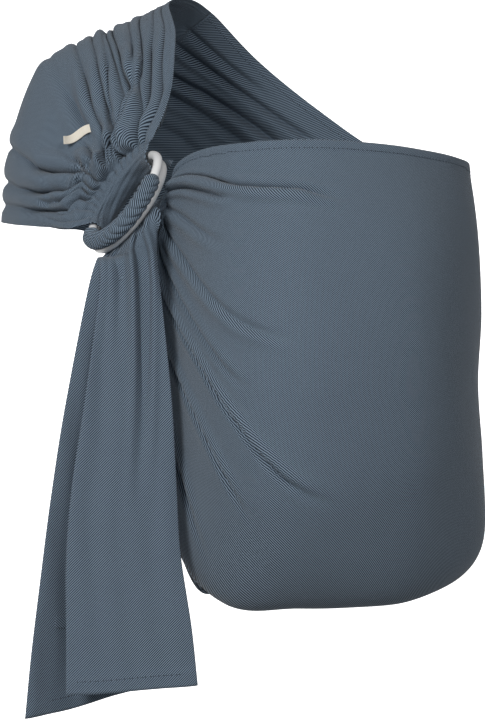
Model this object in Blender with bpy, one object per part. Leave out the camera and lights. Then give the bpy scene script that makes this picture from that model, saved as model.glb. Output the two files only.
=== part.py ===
"""Ring sling: one long gathered cloth, two rings and a hanging tail.

Metres, +Z up.  The wearer faces -Y.  The origin is the top of the shoulder
that carries the sling.  Hand-chosen stations are written in millimetres for
the default size, and stretch with SLING_WIDTH, SLING_DEPTH and SLING_DROP.
"""
import math

import bmesh
import bpy
import numpy as np
from mathutils import Matrix, Vector

MM = 0.001

# Overall sizes of the worn sling, without the tail
SLING_WIDTH = 0.410
SLING_DEPTH = 0.403
SLING_DROP = 0.505

# Rings
RING_OUTER_DIAMETER = 0.093
RING_BAR_DIAMETER = 0.0075
RING_SPACING = 0.0090
RING_SLIP_ALONG = -0.0030
RING_SLIP_ACROSS = -0.0070
RING_LEAN_DEG = 36.0
RING_TURN_DEG = 72.0

# Cloth, as bundles of gathered layers
CAP_THICKNESS = 0.0050
BACK_THICKNESS = 0.0040
POUCH_THICKNESS = 0.0030
ROLL_THICKNESS = 0.0034
LOOP_THICKNESS = 0.0024
TAIL_FOLD_THICKNESS = 0.0060
TAIL_FOLD_PITCH = 0.0100
TAIL_HEAD_THICKNESS = 0.0040

# Tail
TAIL_LENGTH = 0.3200
TAIL_BACK_EXTRA = 0.0230
TAIL_HEM_WIDTH = 0.1060
TAIL_TOP_WIDTH = 0.0500
TAIL_FRONT_Y = -0.1920
TAIL_WAVE = 0.0015
TAIL_FLARE = 0.85
TAIL_BACK_SHIFT = -0.0300
TAIL_LEFT = (-0.0115, -0.0290, 0.0030)
TAIL_PIVOT_DEG = 125.3

# Trim
HEM_WIDTH = 0.0075
TAIL_HEM_HEIGHT = 0.0110
THREAD_DIAMETER = 0.0009
LABEL_LENGTH = 0.0270
LABEL_WIDTH = 0.0068
LABEL_THICKNESS = 0.0008
LABEL_LIFT = 0.0022
LABEL_WAVE = 0.0012
CARE_LABEL_WIDTH = 0.0140
CARE_LABEL_HEIGHT = 0.0100

# Clearances
TOUCH_GAP = 0.0004
STITCH_GAP = 0.0013
SEAM_GAP = 0.0012
CHANNEL_CLEARANCE = 0.0026
ROLL_CLEARANCE = 0.0003
HEAD_CLEARANCE = 0.0010

# Where the cloth meets the rings, as angles round a ring: 90 is the front bar
# and 270 the shoulder bar
CAP_EDGE_DEG = (345, 322, 300, 277, 254, 232, 212)
NECK_EDGE_DEG = (38, 56, 73, 90, 107, 124, 141)
HEAD_DEG = (166, 146, 124, 100, 76, 56)
LOOP_SPAN_DEG = (236, 304)
ROLL_SPAN_DEG = (52, 200)
TAIL_TOP_DEG = 150
NECK_INSET = 0.0080
NECK_MARGIN = 0.0060
NECK_DROPS = (0.35, -0.2, -0.75)
NECK_SIDES = (0.72, 0.5, 0.25, 0.0, -0.25, -0.5, -0.72)
HEAD_INSET = 0.0060
HEAD_OUTSET = 0.0040
HEAD_DROP = 0.0400
HEAD_BOW = 0.0040

# Steps of each surface, along the cloth and across it
CAP_STEPS = (22, 18)
BACK_STEPS = (24, 16)
POUCH_STEPS = (50, 22)
HEAD_STEPS = (12, 12)
TAIL_STEPS = (14, 10)
LABEL_PLACE = (5, 11)
CARE_LABEL_PLACE = (-4, 1)

DEFAULT_SIZE = (0.410, 0.403, 0.505)
RING_CENTRE_MM = (9.5, -148.0, -139.6)


def at(x, y, z):
    """A station in millimetres at the default size, as metres at this size."""
    return np.array([
        x * MM * SLING_WIDTH / DEFAULT_SIZE[0],
        y * MM * SLING_DEPTH / DEFAULT_SIZE[1],
        z * MM * SLING_DROP / DEFAULT_SIZE[2],
    ])


# ---------------------------------------------------------------- ring frame

def ring_axes():
    """Long axis in the front view, axis towards the front bar, and normal."""
    lean = math.radians(RING_LEAN_DEG)
    turn = math.radians(RING_TURN_DEG)
    along = np.array([math.sin(lean), 0.0, math.cos(lean)])
    sideways = np.array([math.cos(lean), 0.0, -math.sin(lean)])
    across = math.cos(turn) * sideways + math.sin(turn) * np.array([0.0, -1.0, 0.0])
    return along, across, np.cross(along, across)


ALONG, ACROSS, NORMAL = ring_axes()
BAR_RADIUS = RING_BAR_DIAMETER / 2
RING_RADIUS = RING_OUTER_DIAMETER / 2 - BAR_RADIUS
OUTER_CENTRE = at(*RING_CENTRE_MM)
INNER_CENTRE = (OUTER_CENTRE + RING_SPACING * NORMAL
                + RING_SLIP_ALONG * ALONG + RING_SLIP_ACROSS * ACROSS)
OUTER_HINGE = OUTER_CENTRE - RING_RADIUS * ACROSS
INNER_HINGE = INNER_CENTRE - RING_RADIUS * ACROSS


def on_ring(centre, degrees, outward=0.0, behind=0.0):
    """A point by a ring's bar: 90 is the front bar, 270 the shoulder bar."""
    angle = math.radians(degrees)
    spoke = math.cos(angle) * ALONG + math.sin(angle) * ACROSS
    return centre + (RING_RADIUS + outward) * spoke + behind * NORMAL


# ------------------------------------------------------------------- helpers

def clear_scene():
    for old in list(bpy.data.objects):
        bpy.data.objects.remove(old, do_unlink=True)


def material(name, colour, roughness, metallic=0.0):
    new = bpy.data.materials.new(name)
    new.use_nodes = True
    shader = new.node_tree.nodes["Principled BSDF"]
    shader.inputs["Base Color"].default_value = (*colour, 1.0)
    shader.inputs["Roughness"].default_value = roughness
    shader.inputs["Metallic"].default_value = metallic
    return new


def smooth_rows(stations, count):
    """Catmull-Rom curve through the stations of axis 0, count steps."""
    stations = np.asarray(stations, dtype=float)
    first = 2 * stations[:1] - stations[1:2]
    last = 2 * stations[-1:] - stations[-2:-1]
    padded = np.concatenate([first, stations, last])
    place = np.linspace(0.0, len(stations) - 1, count + 1)
    span = np.minimum(place.astype(int), len(stations) - 2)
    t = (place - span).reshape((-1,) + (1,) * (stations.ndim - 1))
    p0, p1, p2, p3 = (padded[span + k] for k in range(4))
    return 0.5 * (2 * p1 + (p2 - p0) * t + (2 * p0 - 5 * p1 + 4 * p2 - p3) * t ** 2
                  + (3 * p1 - p0 - 3 * p2 + p3) * t ** 3)


def smooth_grid(columns, along, across):
    """A smooth surface through a grid of stations, indexed [column][row]."""
    grid = smooth_rows(columns, along)
    return smooth_rows(grid.swapaxes(0, 1), across).swapaxes(0, 1)


def grid_normals(grid):
    slope_along = np.gradient(grid, axis=0)
    slope_across = np.gradient(grid, axis=1)
    normals = np.cross(slope_along, slope_across)
    return normals / np.linalg.norm(normals, axis=2, keepdims=True)


def empty(name, location, parent=None):
    new = bpy.data.objects.new(name, None)
    bpy.context.collection.objects.link(new)
    new.parent = parent
    base = np.array(parent.matrix_world.translation) if parent else np.zeros(3)
    new.location = Vector(location - base)
    bpy.context.view_layer.update()
    return new


def add_object(name, mesh, finish, pivot=None):
    """Link a mesh made in world coordinates, under its joint's empty."""
    mesh.materials.append(finish)
    new = bpy.data.objects.new(name, mesh)
    bpy.context.collection.objects.link(new)
    if pivot is not None:
        mesh.transform(Matrix.Translation(-pivot.matrix_world.translation))
        new.parent = pivot
    return new


def grid_mesh(name, grid):
    across = grid.shape[1]
    mesh = bpy.data.meshes.new(name)
    index = np.arange(grid.shape[0] * across).reshape(grid.shape[:2])
    faces = np.stack([index[:-1, :-1], index[1:, :-1], index[1:, 1:], index[:-1, 1:]], axis=-1)
    mesh.from_pydata(grid.reshape(-1, 3).tolist(), [], faces.reshape(-1, 4).tolist())
    mesh.update()
    return mesh


def cloth(name, grid, thickness, finish, pivot=None):
    """A sheet of gathered cloth: a surface given its thickness by Solidify."""
    new = add_object(name, grid_mesh(name, grid), finish, pivot)
    wall = new.modifiers.new("thickness", "SOLIDIFY")
    wall.thickness = thickness
    wall.offset = 0.0
    wall.use_even_offset = False
    new.data.shade_smooth()
    return new


def thread(name, points, finish, pivot=None):
    """A stitched line, as one thin round thread."""
    curve = bpy.data.curves.new(name, "CURVE")
    curve.dimensions = "3D"
    curve.bevel_depth = THREAD_DIAMETER / 2
    curve.bevel_resolution = 1
    curve.use_fill_caps = True
    base = np.array(pivot.matrix_world.translation) if pivot else np.zeros(3)
    spline = curve.splines.new("POLY")
    spline.points.add(len(points) - 1)
    for slot, point in zip(spline.points, points):
        slot.co = (*(point - base), 1.0)
    curve.materials.append(finish)
    new = bpy.data.objects.new(name, curve)
    bpy.context.collection.objects.link(new)
    new.parent = pivot
    return new


def ring_matrix(centre):
    rotation = Matrix([ALONG, ACROSS, NORMAL]).transposed().to_4x4()
    return Matrix.Translation(Vector(centre)) @ rotation


def torus_mesh(name, centre, bar_radius, major=48, minor=12):
    """A whole ring made by turning a circle about the ring's normal."""
    shape = bmesh.new()
    circle = bmesh.ops.create_circle(shape, segments=minor, radius=bar_radius)
    bmesh.ops.rotate(shape, verts=circle["verts"], cent=(0, 0, 0),
                     matrix=Matrix.Rotation(math.pi / 2, 3, "X"))
    bmesh.ops.translate(shape, verts=circle["verts"], vec=(RING_RADIUS, 0, 0))
    bmesh.ops.spin(shape, geom=shape.verts[:] + shape.edges[:], cent=(0, 0, 0), axis=(0, 0, 1),
                   angle=2 * math.pi, steps=major, use_merge=True)
    bmesh.ops.remove_doubles(shape, verts=shape.verts[:], dist=0.00001)
    bmesh.ops.recalc_face_normals(shape, faces=shape.faces[:])
    bmesh.ops.transform(shape, matrix=ring_matrix(centre), verts=shape.verts[:])
    mesh = bpy.data.meshes.new(name)
    shape.to_mesh(mesh)
    shape.free()
    mesh.shade_smooth()
    return mesh


def cutter(name, mesh):
    new = bpy.data.objects.new(name, mesh)
    bpy.context.collection.objects.link(new)
    new.hide_render = True
    new.display_type = "WIRE"
    return new


def cut(target, tool):
    """Take the cutter away from the target; both stay where they are."""
    step = target.modifiers.new(tool.name, "BOOLEAN")
    step.operation = "DIFFERENCE"
    step.object = tool
    step.solver = "EXACT"


def swept_mesh(name, rings_of_points):
    """A closed body from a row of equal sections, with flat end caps."""
    sections = np.asarray(rings_of_points)
    count, sides = sections.shape[:2]
    mesh = bpy.data.meshes.new(name)
    shape = bmesh.new()
    verts = [[shape.verts.new(point) for point in section] for section in sections]
    for i in range(count - 1):
        for j in range(sides):
            k = (j + 1) % sides
            shape.faces.new((verts[i][j], verts[i][k], verts[i + 1][k], verts[i + 1][j]))
    shape.faces.new(verts[0][::-1])
    shape.faces.new(verts[-1])
    bmesh.ops.recalc_face_normals(shape, faces=shape.faces[:])
    shape.to_mesh(mesh)
    shape.free()
    mesh.shade_smooth()
    return mesh


# ------------------------------------------------------- the cloth's stations
# Each column runs across the cloth from the neck-side (upper) rail to the
# arm-side (lower) rail.  Columns follow the cloth from the rings over the
# shoulder, down the back, round the side and across the front.

def cap_columns():
    """From the shoulder bars of the rings over the shoulder to its back."""
    clear = BAR_RADIUS + CHANNEL_CLEARANCE + LOOP_THICKNESS
    edge = [on_ring(OUTER_CENTRE, angle, outward=clear + CAP_THICKNESS / 2, behind=-BAR_RADIUS)
            for angle in CAP_EDGE_DEG]
    front = [at(47, -112, -48), at(28, -104, -58), at(10, -98, -66), at(-12, -92, -80),
             at(-32, -90, -100), at(-46, -94, -130), at(-52, -98, -162)]
    rise = [at(50, -70, 0), at(27, -60, -6), at(2, -60, -14), at(-24, -60, -28),
            at(-53, -58, -54), at(-75, -57, -104), at(-82, -55, -159)]
    crest = [at(44, -5, 30), at(22, 0, 21), at(-4, 0, 8), at(-32, 0, -5),
             at(-66, 0, -28), at(-91, 0, -86), at(-98, 0, -155)]
    fall = [at(60, 25, 36), at(38, 42, 22), at(12, 50, 3), at(-14, 55, -22),
            at(-44, 58, -54), at(-70, 57, -104), at(-87, 52, -154)]
    return [edge, front, rise, crest, fall, shoulder_back()]


def shoulder_back():
    return [at(79, 60, 27), at(55, 75, 10), at(30, 85, -15), at(5, 92, -45),
            at(-20, 95, -80), at(-40, 95, -118), at(-55, 90, -158)]


def back_columns():
    """From the back of the shoulder slanting down to the far side."""
    return [
        shoulder_back(),
        [at(120, 103, -12), at(98, 108, -30), at(76, 111, -52), at(54, 112, -78),
         at(32, 112, -108), at(8, 108, -140), at(-18, 100, -168)],
        [at(170, 112, -52), at(152, 115, -82), at(134, 117, -114), at(115, 118, -147),
         at(95, 118, -181), at(72, 117, -215), at(45, 112, -245)],
        [at(225, 110, -90), at(212, 115, -130), at(198, 118, -172), at(184, 119, -215),
         at(168, 119, -257), at(150, 118, -298), at(130, 113, -338)],
        [at(270, 85, -106), at(266, 92, -156), at(261, 97, -208), at(255, 99, -260),
         at(248, 100, -312), at(240, 99, -362), at(230, 92, -408)],
        [at(290, 25, -112), at(294, 30, -165), at(296, 33, -222), at(296, 35, -280),
         at(295, 36, -338), at(292, 33, -392), at(284, 24, -436)],
        far_side(),
    ]


def far_side():
    return [at(291, -50, -112), at(297, -52, -170), at(299, -54, -228), at(300, -55, -285),
            at(304, -56, -345), at(306, -55, -400), at(298, -50, -438)]


def pouch_columns():
    """From the far side across the front, gathering towards the rings."""
    return [
        far_side(),
        [at(283, -140, -108), at(288, -155, -170), at(292, -165, -232), at(293, -170, -295),
         at(294, -165, -358), at(287, -142, -428), at(268, -105, -452)],
        [at(240, -205, -101), at(246, -235, -165), at(246, -250, -230), at(247, -253, -300),
         at(246, -240, -378), at(238, -196, -463), at(230, -115, -462)],
        [at(165, -238, -96), at(158, -268, -165), at(154, -283, -240), at(152, -284, -315),
         at(152, -266, -398), at(152, -205, -471), at(152, -110, -464)],
        [at(105, -222, -98), at(96, -240, -165), at(92, -250, -235), at(90, -248, -305),
         at(90, -230, -378), at(90, -186, -462), at(98, -112, -455)],
        [at(70, -188, -103), at(56, -176, -140), at(47, -162, -185), at(42, -152, -232),
         at(41, -146, -295), at(45, -142, -374), at(57, -120, -434)],
        [at(52, -165, -114), at(45, -158, -135), at(39, -154, -158), at(33, -150, -182),
         at(28, -145, -208), at(24, -138, -240), at(20, -128, -275)],
        neck_edge(),
    ]


def neck_offset():
    return (BAR_RADIUS + HEAD_CLEARANCE + TAIL_HEAD_THICKNESS + HEAD_CLEARANCE
            + POUCH_THICKNESS / 2)


def neck_edge():
    """Where the front cloth passes behind the inner ring's front bar."""
    return [on_ring(INNER_CENTRE, angle, outward=-NECK_INSET, behind=neck_offset() + HEAD_CLEARANCE)
            for angle in NECK_EDGE_DEG]


def neck_columns():
    """The cloth that goes on up behind the rings' opening."""
    reach = RING_RADIUS - BAR_RADIUS - CHANNEL_CLEARANCE - LOOP_THICKNESS - NECK_MARGIN
    base = INNER_CENTRE + neck_offset() * NORMAL
    return [[base + reach * (side * ALONG + drop * ACROSS) for side in NECK_SIDES]
            for drop in NECK_DROPS]


def trimmed(grid, start=True, end=True):
    """Draw a sheet's first and last column in by half the seam gap."""
    grid = grid.copy()
    for wanted, edge, inner in ((start, 0, 1), (end, -1, -2)):
        if wanted:
            step = grid[inner] - grid[edge]
            length = np.linalg.norm(step, axis=1, keepdims=True)
            grid[edge] += step / length * SEAM_GAP / 2
    return grid


# --------------------------------------------------------------- body pieces

def make_shell(finish):
    cap = trimmed(smooth_grid(cap_columns(), *CAP_STEPS))
    back = trimmed(smooth_grid(back_columns(), *BACK_STEPS))
    pouch = trimmed(smooth_grid(pouch_columns() + neck_columns(), *POUCH_STEPS), end=False)
    cloth("shoulder_cap", cap, CAP_THICKNESS, finish)
    cloth("back_panel", back, BACK_THICKNESS, finish)
    cloth("front_pouch", pouch, POUCH_THICKNESS, finish)
    return cap, back, pouch


def make_shoulder_loop(finish):
    """The gathered end sewn round both shoulder bars, with room for both to turn."""
    half = BAR_RADIUS + CHANNEL_CLEARANCE + LOOP_THICKNESS
    slip = INNER_CENTRE - OUTER_CENTRE
    sections = []
    for angle in np.linspace(*LOOP_SPAN_DEG, 15):
        spoke = (on_ring(OUTER_CENTRE, angle) - OUTER_CENTRE) / RING_RADIUS
        middle = on_ring(OUTER_CENTRE, angle) + slip / 2
        tangent = np.cross(NORMAL, spoke)
        lean = slip - np.dot(slip, tangent) * tangent
        reach = np.linalg.norm(lean) / 2
        wide = lean / np.linalg.norm(lean)
        high = np.cross(tangent, wide)
        section = []
        for end, first in ((reach, -90), (-reach, 90)):
            for a in np.radians(np.linspace(first, first + 180, 9)):
                section.append(middle + (end + half * math.cos(a)) * wide
                               + half * math.sin(a) * high)
        sections.append(section)
    loop = add_object("shoulder_loop", swept_mesh("shoulder_loop", sections), finish)
    bore = BAR_RADIUS + CHANNEL_CLEARANCE
    cut(loop, cutter("outer_channel", torus_mesh("outer_channel", OUTER_CENTRE, bore)))
    cut(loop, cutter("inner_channel", torus_mesh("inner_channel", INNER_CENTRE, bore)))


def rail_line(grid, thickness, rail, inner, end):
    """Points on a sheet's outer face, a hem's width in from one of its rails.

    The line starts one column in, and stops short of the sheet's end column.
    """
    lift = thickness / 2 + THREAD_DIAMETER / 2 + STITCH_GAP
    inward = grid[:, inner] - grid[:, rail]
    inward = inward / np.linalg.norm(inward, axis=1, keepdims=True)
    outward = grid_normals(grid)[:, inner]
    line = grid[:, rail] + inward * HEM_WIDTH + outward * lift
    return line[1:end]


def make_body_stitching(pouch, back, finish):
    thread("upper_rail_stitching", rail_line(pouch, POUCH_THICKNESS, 0, 1, -18), finish)
    thread("lower_rail_stitching", rail_line(pouch, POUCH_THICKNESS, -1, -2, -28), finish)
    thread("back_rail_stitching", rail_line(back, BACK_THICKNESS, 0, 1, -1), finish)


def make_label(cap, finish):
    """A blank folded ribbon sewn on the front of the cap."""
    normals = grid_normals(cap)
    along, across = LABEL_PLACE
    middle = cap[along, across]
    outward = normals[along, across]
    if outward[1] > 0:
        outward = -outward
    run = cap[along, across - 2] - cap[along, across + 2]
    run = run - np.dot(run, outward) * outward
    run = run / np.linalg.norm(run)
    side = np.cross(outward, run)
    lift = CAP_THICKNESS / 2 + LABEL_THICKNESS / 2 + LABEL_LIFT
    grid = np.array([[middle + s * LABEL_LENGTH * run + t * LABEL_WIDTH * side
                      + (lift + LABEL_WAVE * math.sin(2 * math.pi * s)) * outward
                      for t in (-0.5, 0.0, 0.5)] for s in np.linspace(-0.5, 0.5, 9)])
    cloth("maker_label", grid, LABEL_THICKNESS, finish)


# --------------------------------------------------------------- rings, roll

def make_rings(finish, cloth_finish, inner_pivot, outer_pivot):
    inner = torus_mesh("inner_ring", INNER_CENTRE, BAR_RADIUS)
    add_object("inner_ring", inner, finish, inner_pivot)
    outer = torus_mesh("outer_ring", OUTER_CENTRE, BAR_RADIUS)
    add_object("outer_ring", outer, finish, outer_pivot)
    radius = BAR_RADIUS + ROLL_CLEARANCE + ROLL_THICKNESS
    sections = []
    for angle in np.linspace(*ROLL_SPAN_DEG, 25):
        bar = on_ring(OUTER_CENTRE, angle)
        spoke = (bar - OUTER_CENTRE) / RING_RADIUS
        sections.append([bar + radius * (math.cos(a) * spoke + math.sin(a) * NORMAL)
                         for a in np.linspace(0, 2 * math.pi, 13)[:-1]])
    roll = add_object("ring_roll", swept_mesh("ring_roll", sections), cloth_finish, outer_pivot)
    own_bar = BAR_RADIUS + ROLL_CLEARANCE
    next_bar = BAR_RADIUS + HEAD_CLEARANCE / 2
    cut(roll, cutter("roll_bore", torus_mesh("roll_bore", OUTER_CENTRE, own_bar)))
    cut(roll, cutter("roll_relief", torus_mesh("roll_relief", INNER_CENTRE, next_bar)))


# ---------------------------------------------------------------------- tail

def tail_middle(down):
    """Centre line of the tail's front fold, by the share of its length."""
    left = TAIL_LEFT[0] + TAIL_LEFT[1] * down + TAIL_LEFT[2] * down ** 2
    right = left + tail_width(down)
    return (left + right) / 2


def tail_width(down):
    return TAIL_TOP_WIDTH + (TAIL_HEM_WIDTH - TAIL_TOP_WIDTH) * down ** TAIL_FLARE


def tail_top():
    return on_ring(INNER_CENTRE, TAIL_TOP_DEG)[2] - HEAD_DROP


def tail_grid(shift_x, shift_y, extra, along, across):
    """One fold of the tail: it widens downwards and waves across."""
    top = tail_top() - SEAM_GAP
    rows = []
    for down in np.linspace(0, 1, along + 1):
        z = top - down * (TAIL_LENGTH + extra)
        half = tail_width(down) / 2
        row = []
        for side in np.linspace(-1, 1, across + 1):
            x = tail_middle(down) + shift_x * down + side * half
            wave = TAIL_WAVE * math.cos(math.pi * 1.5 * (side + 0.3))
            row.append([x, TAIL_FRONT_Y + shift_y + wave, z])
        rows.append(row)
    return np.array(rows)


def head_columns():
    """The cloth that leaves the rings under the inner ring's front bar."""
    behind = BAR_RADIUS + HEAD_CLEARANCE + TAIL_HEAD_THICKNESS / 2
    inside = [on_ring(INNER_CENTRE, a, outward=-HEAD_INSET, behind=behind + ROLL_CLEARANCE)
              for a in HEAD_DEG]
    under = [on_ring(INNER_CENTRE, a, outward=HEAD_OUTSET, behind=behind) for a in HEAD_DEG]
    hang = tail_grid(0.0, 0.0, 0.0, 1, len(HEAD_DEG) - 1)[0]
    hang = [point + np.array([0.0, 0.0, SEAM_GAP]) for point in hang]
    middle = [0.45 * u + 0.55 * h + np.array([0.0, -HEAD_BOW, HEAD_BOW])
              for u, h in zip(under, hang)]
    return [inside, under, middle, hang]


def make_tail(finish, thread_finish, label_finish, head_pivot, feed_pivot):
    head = smooth_grid(head_columns(), *HEAD_STEPS)
    cloth("tail_head", head, TAIL_HEAD_THICKNESS, finish, head_pivot)
    front = tail_grid(0.0, 0.0, 0.0, *TAIL_STEPS)
    back = tail_grid(TAIL_BACK_SHIFT, TAIL_FOLD_PITCH, TAIL_BACK_EXTRA, *TAIL_STEPS)
    cloth("tail_front_fold", front, TAIL_FOLD_THICKNESS, finish, feed_pivot)
    cloth("tail_back_fold", back, TAIL_FOLD_THICKNESS, finish, feed_pivot)
    lift = TAIL_FOLD_THICKNESS / 2 + THREAD_DIAMETER / 2 + TOUCH_GAP
    row = tail_grid(0.0, -lift, -TAIL_HEM_HEIGHT, 1, 24)[-1]
    thread("tail_hem_stitching", row[1:-1], thread_finish, feed_pivot)
    label_lift = TAIL_FOLD_THICKNESS / 2 + LABEL_THICKNESS / 2 + 2 * TOUCH_GAP
    corner = back[CARE_LABEL_PLACE] + np.array([0.0, -label_lift, 0.0])
    grid = np.array([[corner + np.array([s * CARE_LABEL_WIDTH, 0.0, t * CARE_LABEL_HEIGHT])
                      for t in (0.0, 0.5, 1.0)] for s in (0.0, 0.5, 1.0)])
    cloth("care_label", grid, LABEL_THICKNESS, label_finish, feed_pivot)


# ---------------------------------------------------------------------- main

def main():
    clear_scene()
    twill = material("twill_cotton", (0.072, 0.098, 0.130), 0.85)
    ring = material("satin_aluminium", (0.76, 0.75, 0.73), 0.35, 1.0)
    yarn = material("sewing_thread", (0.085, 0.110, 0.145), 0.7)
    ribbon = material("label_ribbon", (0.62, 0.59, 0.52), 0.8)
    inner_pivot = empty("buckle_pivot", INNER_HINGE)
    outer_pivot = empty("outer_ring_pivot", OUTER_HINGE, inner_pivot)
    head_pivot = empty("tail_pivot", on_ring(INNER_CENTRE, TAIL_PIVOT_DEG), inner_pivot)
    feed_pivot = empty("tail_feed_pivot", np.array([tail_middle(0.0), TAIL_FRONT_Y, tail_top()]),
                       head_pivot)
    cap, back, pouch = make_shell(twill)
    make_shoulder_loop(twill)
    make_body_stitching(pouch, back, yarn)
    make_label(cap, ribbon)
    make_rings(ring, twill, inner_pivot, outer_pivot)
    make_tail(twill, yarn, ribbon, head_pivot, feed_pivot)


main()
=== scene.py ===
"""The looks of a ring sling: gathered twill, two aluminium rings and a long tail.

Every cloth piece is a surface worked out on a grid from stations listed
in millimetres. Folds are added to it as heights along the surface's normal.
"""

import math

import bpy
import numpy as np
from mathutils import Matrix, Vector


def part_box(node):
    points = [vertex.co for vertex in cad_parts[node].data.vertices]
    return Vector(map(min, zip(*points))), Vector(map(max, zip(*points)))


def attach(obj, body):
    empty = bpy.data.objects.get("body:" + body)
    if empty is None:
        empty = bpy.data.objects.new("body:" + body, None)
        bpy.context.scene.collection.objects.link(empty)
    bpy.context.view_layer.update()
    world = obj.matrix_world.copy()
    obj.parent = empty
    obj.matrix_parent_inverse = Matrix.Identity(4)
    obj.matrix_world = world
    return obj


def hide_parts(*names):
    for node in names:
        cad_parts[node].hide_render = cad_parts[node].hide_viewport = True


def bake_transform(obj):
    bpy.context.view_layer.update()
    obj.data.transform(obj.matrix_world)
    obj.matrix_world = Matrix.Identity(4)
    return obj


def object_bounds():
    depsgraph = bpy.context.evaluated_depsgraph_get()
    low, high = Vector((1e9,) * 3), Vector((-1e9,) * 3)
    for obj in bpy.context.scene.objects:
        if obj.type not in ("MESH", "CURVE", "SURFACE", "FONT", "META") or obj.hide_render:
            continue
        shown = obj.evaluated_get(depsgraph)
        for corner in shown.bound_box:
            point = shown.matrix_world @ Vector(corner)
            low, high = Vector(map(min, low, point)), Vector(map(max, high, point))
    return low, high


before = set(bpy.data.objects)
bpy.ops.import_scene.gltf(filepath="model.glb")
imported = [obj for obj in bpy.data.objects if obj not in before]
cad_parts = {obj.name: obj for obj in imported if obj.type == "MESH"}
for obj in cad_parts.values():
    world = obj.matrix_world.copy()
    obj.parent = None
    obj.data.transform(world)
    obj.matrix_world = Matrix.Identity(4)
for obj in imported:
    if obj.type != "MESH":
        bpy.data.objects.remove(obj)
CAD_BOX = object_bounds()

bl_info = {
    "name": "Ring sling looks",
    "version": (1, 0, 0),
    "blender": (4, 5, 0),
    "location": "3D View > Sidebar > Sling",
    "description": "Builds the cloth, rings, stitching and labels of a worn ring sling",
    "category": "Add Mesh",
}

MM = 0.001


# ---- numbers, colours

def linear(hex_colour):
    """sRGB hex to linear RGB: v/12.92 below 0.04045, else ((v+0.055)/1.055)^2.4."""
    parts = [int(hex_colour[i:i + 2], 16) / 255 for i in (0, 2, 4)]
    return tuple(v / 12.92 if v <= 0.04045 else ((v + 0.055) / 1.055) ** 2.4 for v in parts)


def rows_through(stations, place):
    """Catmull-Rom curve through the stations of axis 0, read at fractional places."""
    stations = np.asarray(stations, dtype=float)
    place = np.asarray(place, dtype=float)
    first = 2 * stations[:1] - stations[1:2]
    last = 2 * stations[-1:] - stations[-2:-1]
    padded = np.concatenate([first, stations, last])
    span = np.clip(np.floor(place).astype(int), 0, len(stations) - 2)
    t = (place - span).reshape((-1,) + (1,) * (stations.ndim - 1))
    p0, p1, p2, p3 = (padded[span + k] for k in range(4))
    return 0.5 * (2 * p1 + (p2 - p0) * t + (2 * p0 - 5 * p1 + 4 * p2 - p3) * t ** 2
                  + (3 * p1 - p0 - 3 * p2 + p3) * t ** 3)


def surface(stations, along, across):
    """Grid of points: Catmull-Rom along the columns, then across the rows."""
    grid = rows_through(stations, along)
    return rows_through(grid.swapaxes(0, 1), across).swapaxes(0, 1)


def unit(vectors):
    """The vectors, each divided by its length."""
    return vectors / np.maximum(np.linalg.norm(vectors, axis=-1, keepdims=True), 1e-12)


def grid_frame(grid):
    """Unit normal and unit across direction: cross product of the two slopes."""
    run = np.gradient(grid, axis=0)
    side = np.gradient(grid, axis=1)
    return unit(np.cross(run, side)), unit(side)


def smooth_step(value, low, high):
    """0 below low, 1 above high, and 3 t^2 - 2 t^3 between them."""
    t = np.clip((value - low) / (high - low), 0.0, 1.0)
    return t * t * (3 - 2 * t)


def bump_between(value, low, high, soft):
    """1 between low and high, easing to 0 over soft on both sides."""
    return smooth_step(value, low - soft, low) * (1 - smooth_step(value, high, high + soft))


def arc_lengths(grid, axis):
    """Running length of the grid lines along one axis, from 0."""
    step = np.linalg.norm(np.diff(grid, axis=axis), axis=-1)
    total = np.cumsum(step, axis=axis)
    pad = [(0, 0), (0, 0)]
    pad[axis] = (1, 0)
    return np.pad(total, pad)


def thread_lengths(base, grid, columns):
    """Lengths along and across the threads, from the smooth and the folded surface.

    The length across takes in a seventh of the folds' depth, so the weave
    neither stretches on their walls nor swirls. On the shoulder the threads
    fan out from the rings, so both lengths are those of the cloth laid flat:
    the middle thread's run, and an equal share of the widest row.
    """
    run = arc_lengths(base, 0)
    middle = grid.shape[1] // 2
    centre_run = run[:, middle:middle + 1]
    across = arc_lengths(grid, 1) / 7 + arc_lengths(base, 1) * 6 / 7
    shoulder = columns <= SHOULDER_END
    flat = across_shares()[None, :] * across[shoulder, -1].max()
    fanned = shoulder[:, None]
    return (np.where(fanned, centre_run, 0.5 * (run + centre_run)),
            np.where(fanned, flat, across))


# ---- the frame

def ring_from(node):
    """Centre, axes and radii of a CAD ring: mean point, plane of least spread."""
    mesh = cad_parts[node].data
    points = np.empty(len(mesh.vertices) * 3)
    mesh.vertices.foreach_get("co", points)
    points = points.reshape(-1, 3)
    centre = (points.max(axis=0) + points.min(axis=0)) / 2
    normal = np.linalg.svd(points - points.mean(axis=0), full_matrices=False)[2][2]
    normal = normal * np.sign(normal[0])
    along = unit(np.cross(normal, (0.0, 1.0, 0.0)))
    along = along * np.sign(along[2])
    bar = np.abs((points - centre) @ normal).max()
    radius = np.linalg.norm(points - centre, axis=1).max() - bar
    return {"centre": centre, "along": along, "across": np.cross(normal, along),
            "normal": normal, "bar": bar, "radius": radius}


OUTER = ring_from("outer_ring")
INNER = ring_from("inner_ring")


def spoke_at(ring, angle):
    """Unit vectors from a ring's centre to its bar: cos a * along + sin a * across."""
    angle = np.asarray(angle)[..., None]
    return np.cos(angle) * ring["along"] + np.sin(angle) * ring["across"]


def by_bar(ring, degrees, outward=0.0, behind=0.0):
    """A point by a ring's bar, in millimetres outward of it and behind its plane."""
    spoke = spoke_at(ring, math.radians(degrees))
    return ring["centre"] + (ring["radius"] + outward * MM) * spoke + behind * MM * ring["normal"]


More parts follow.
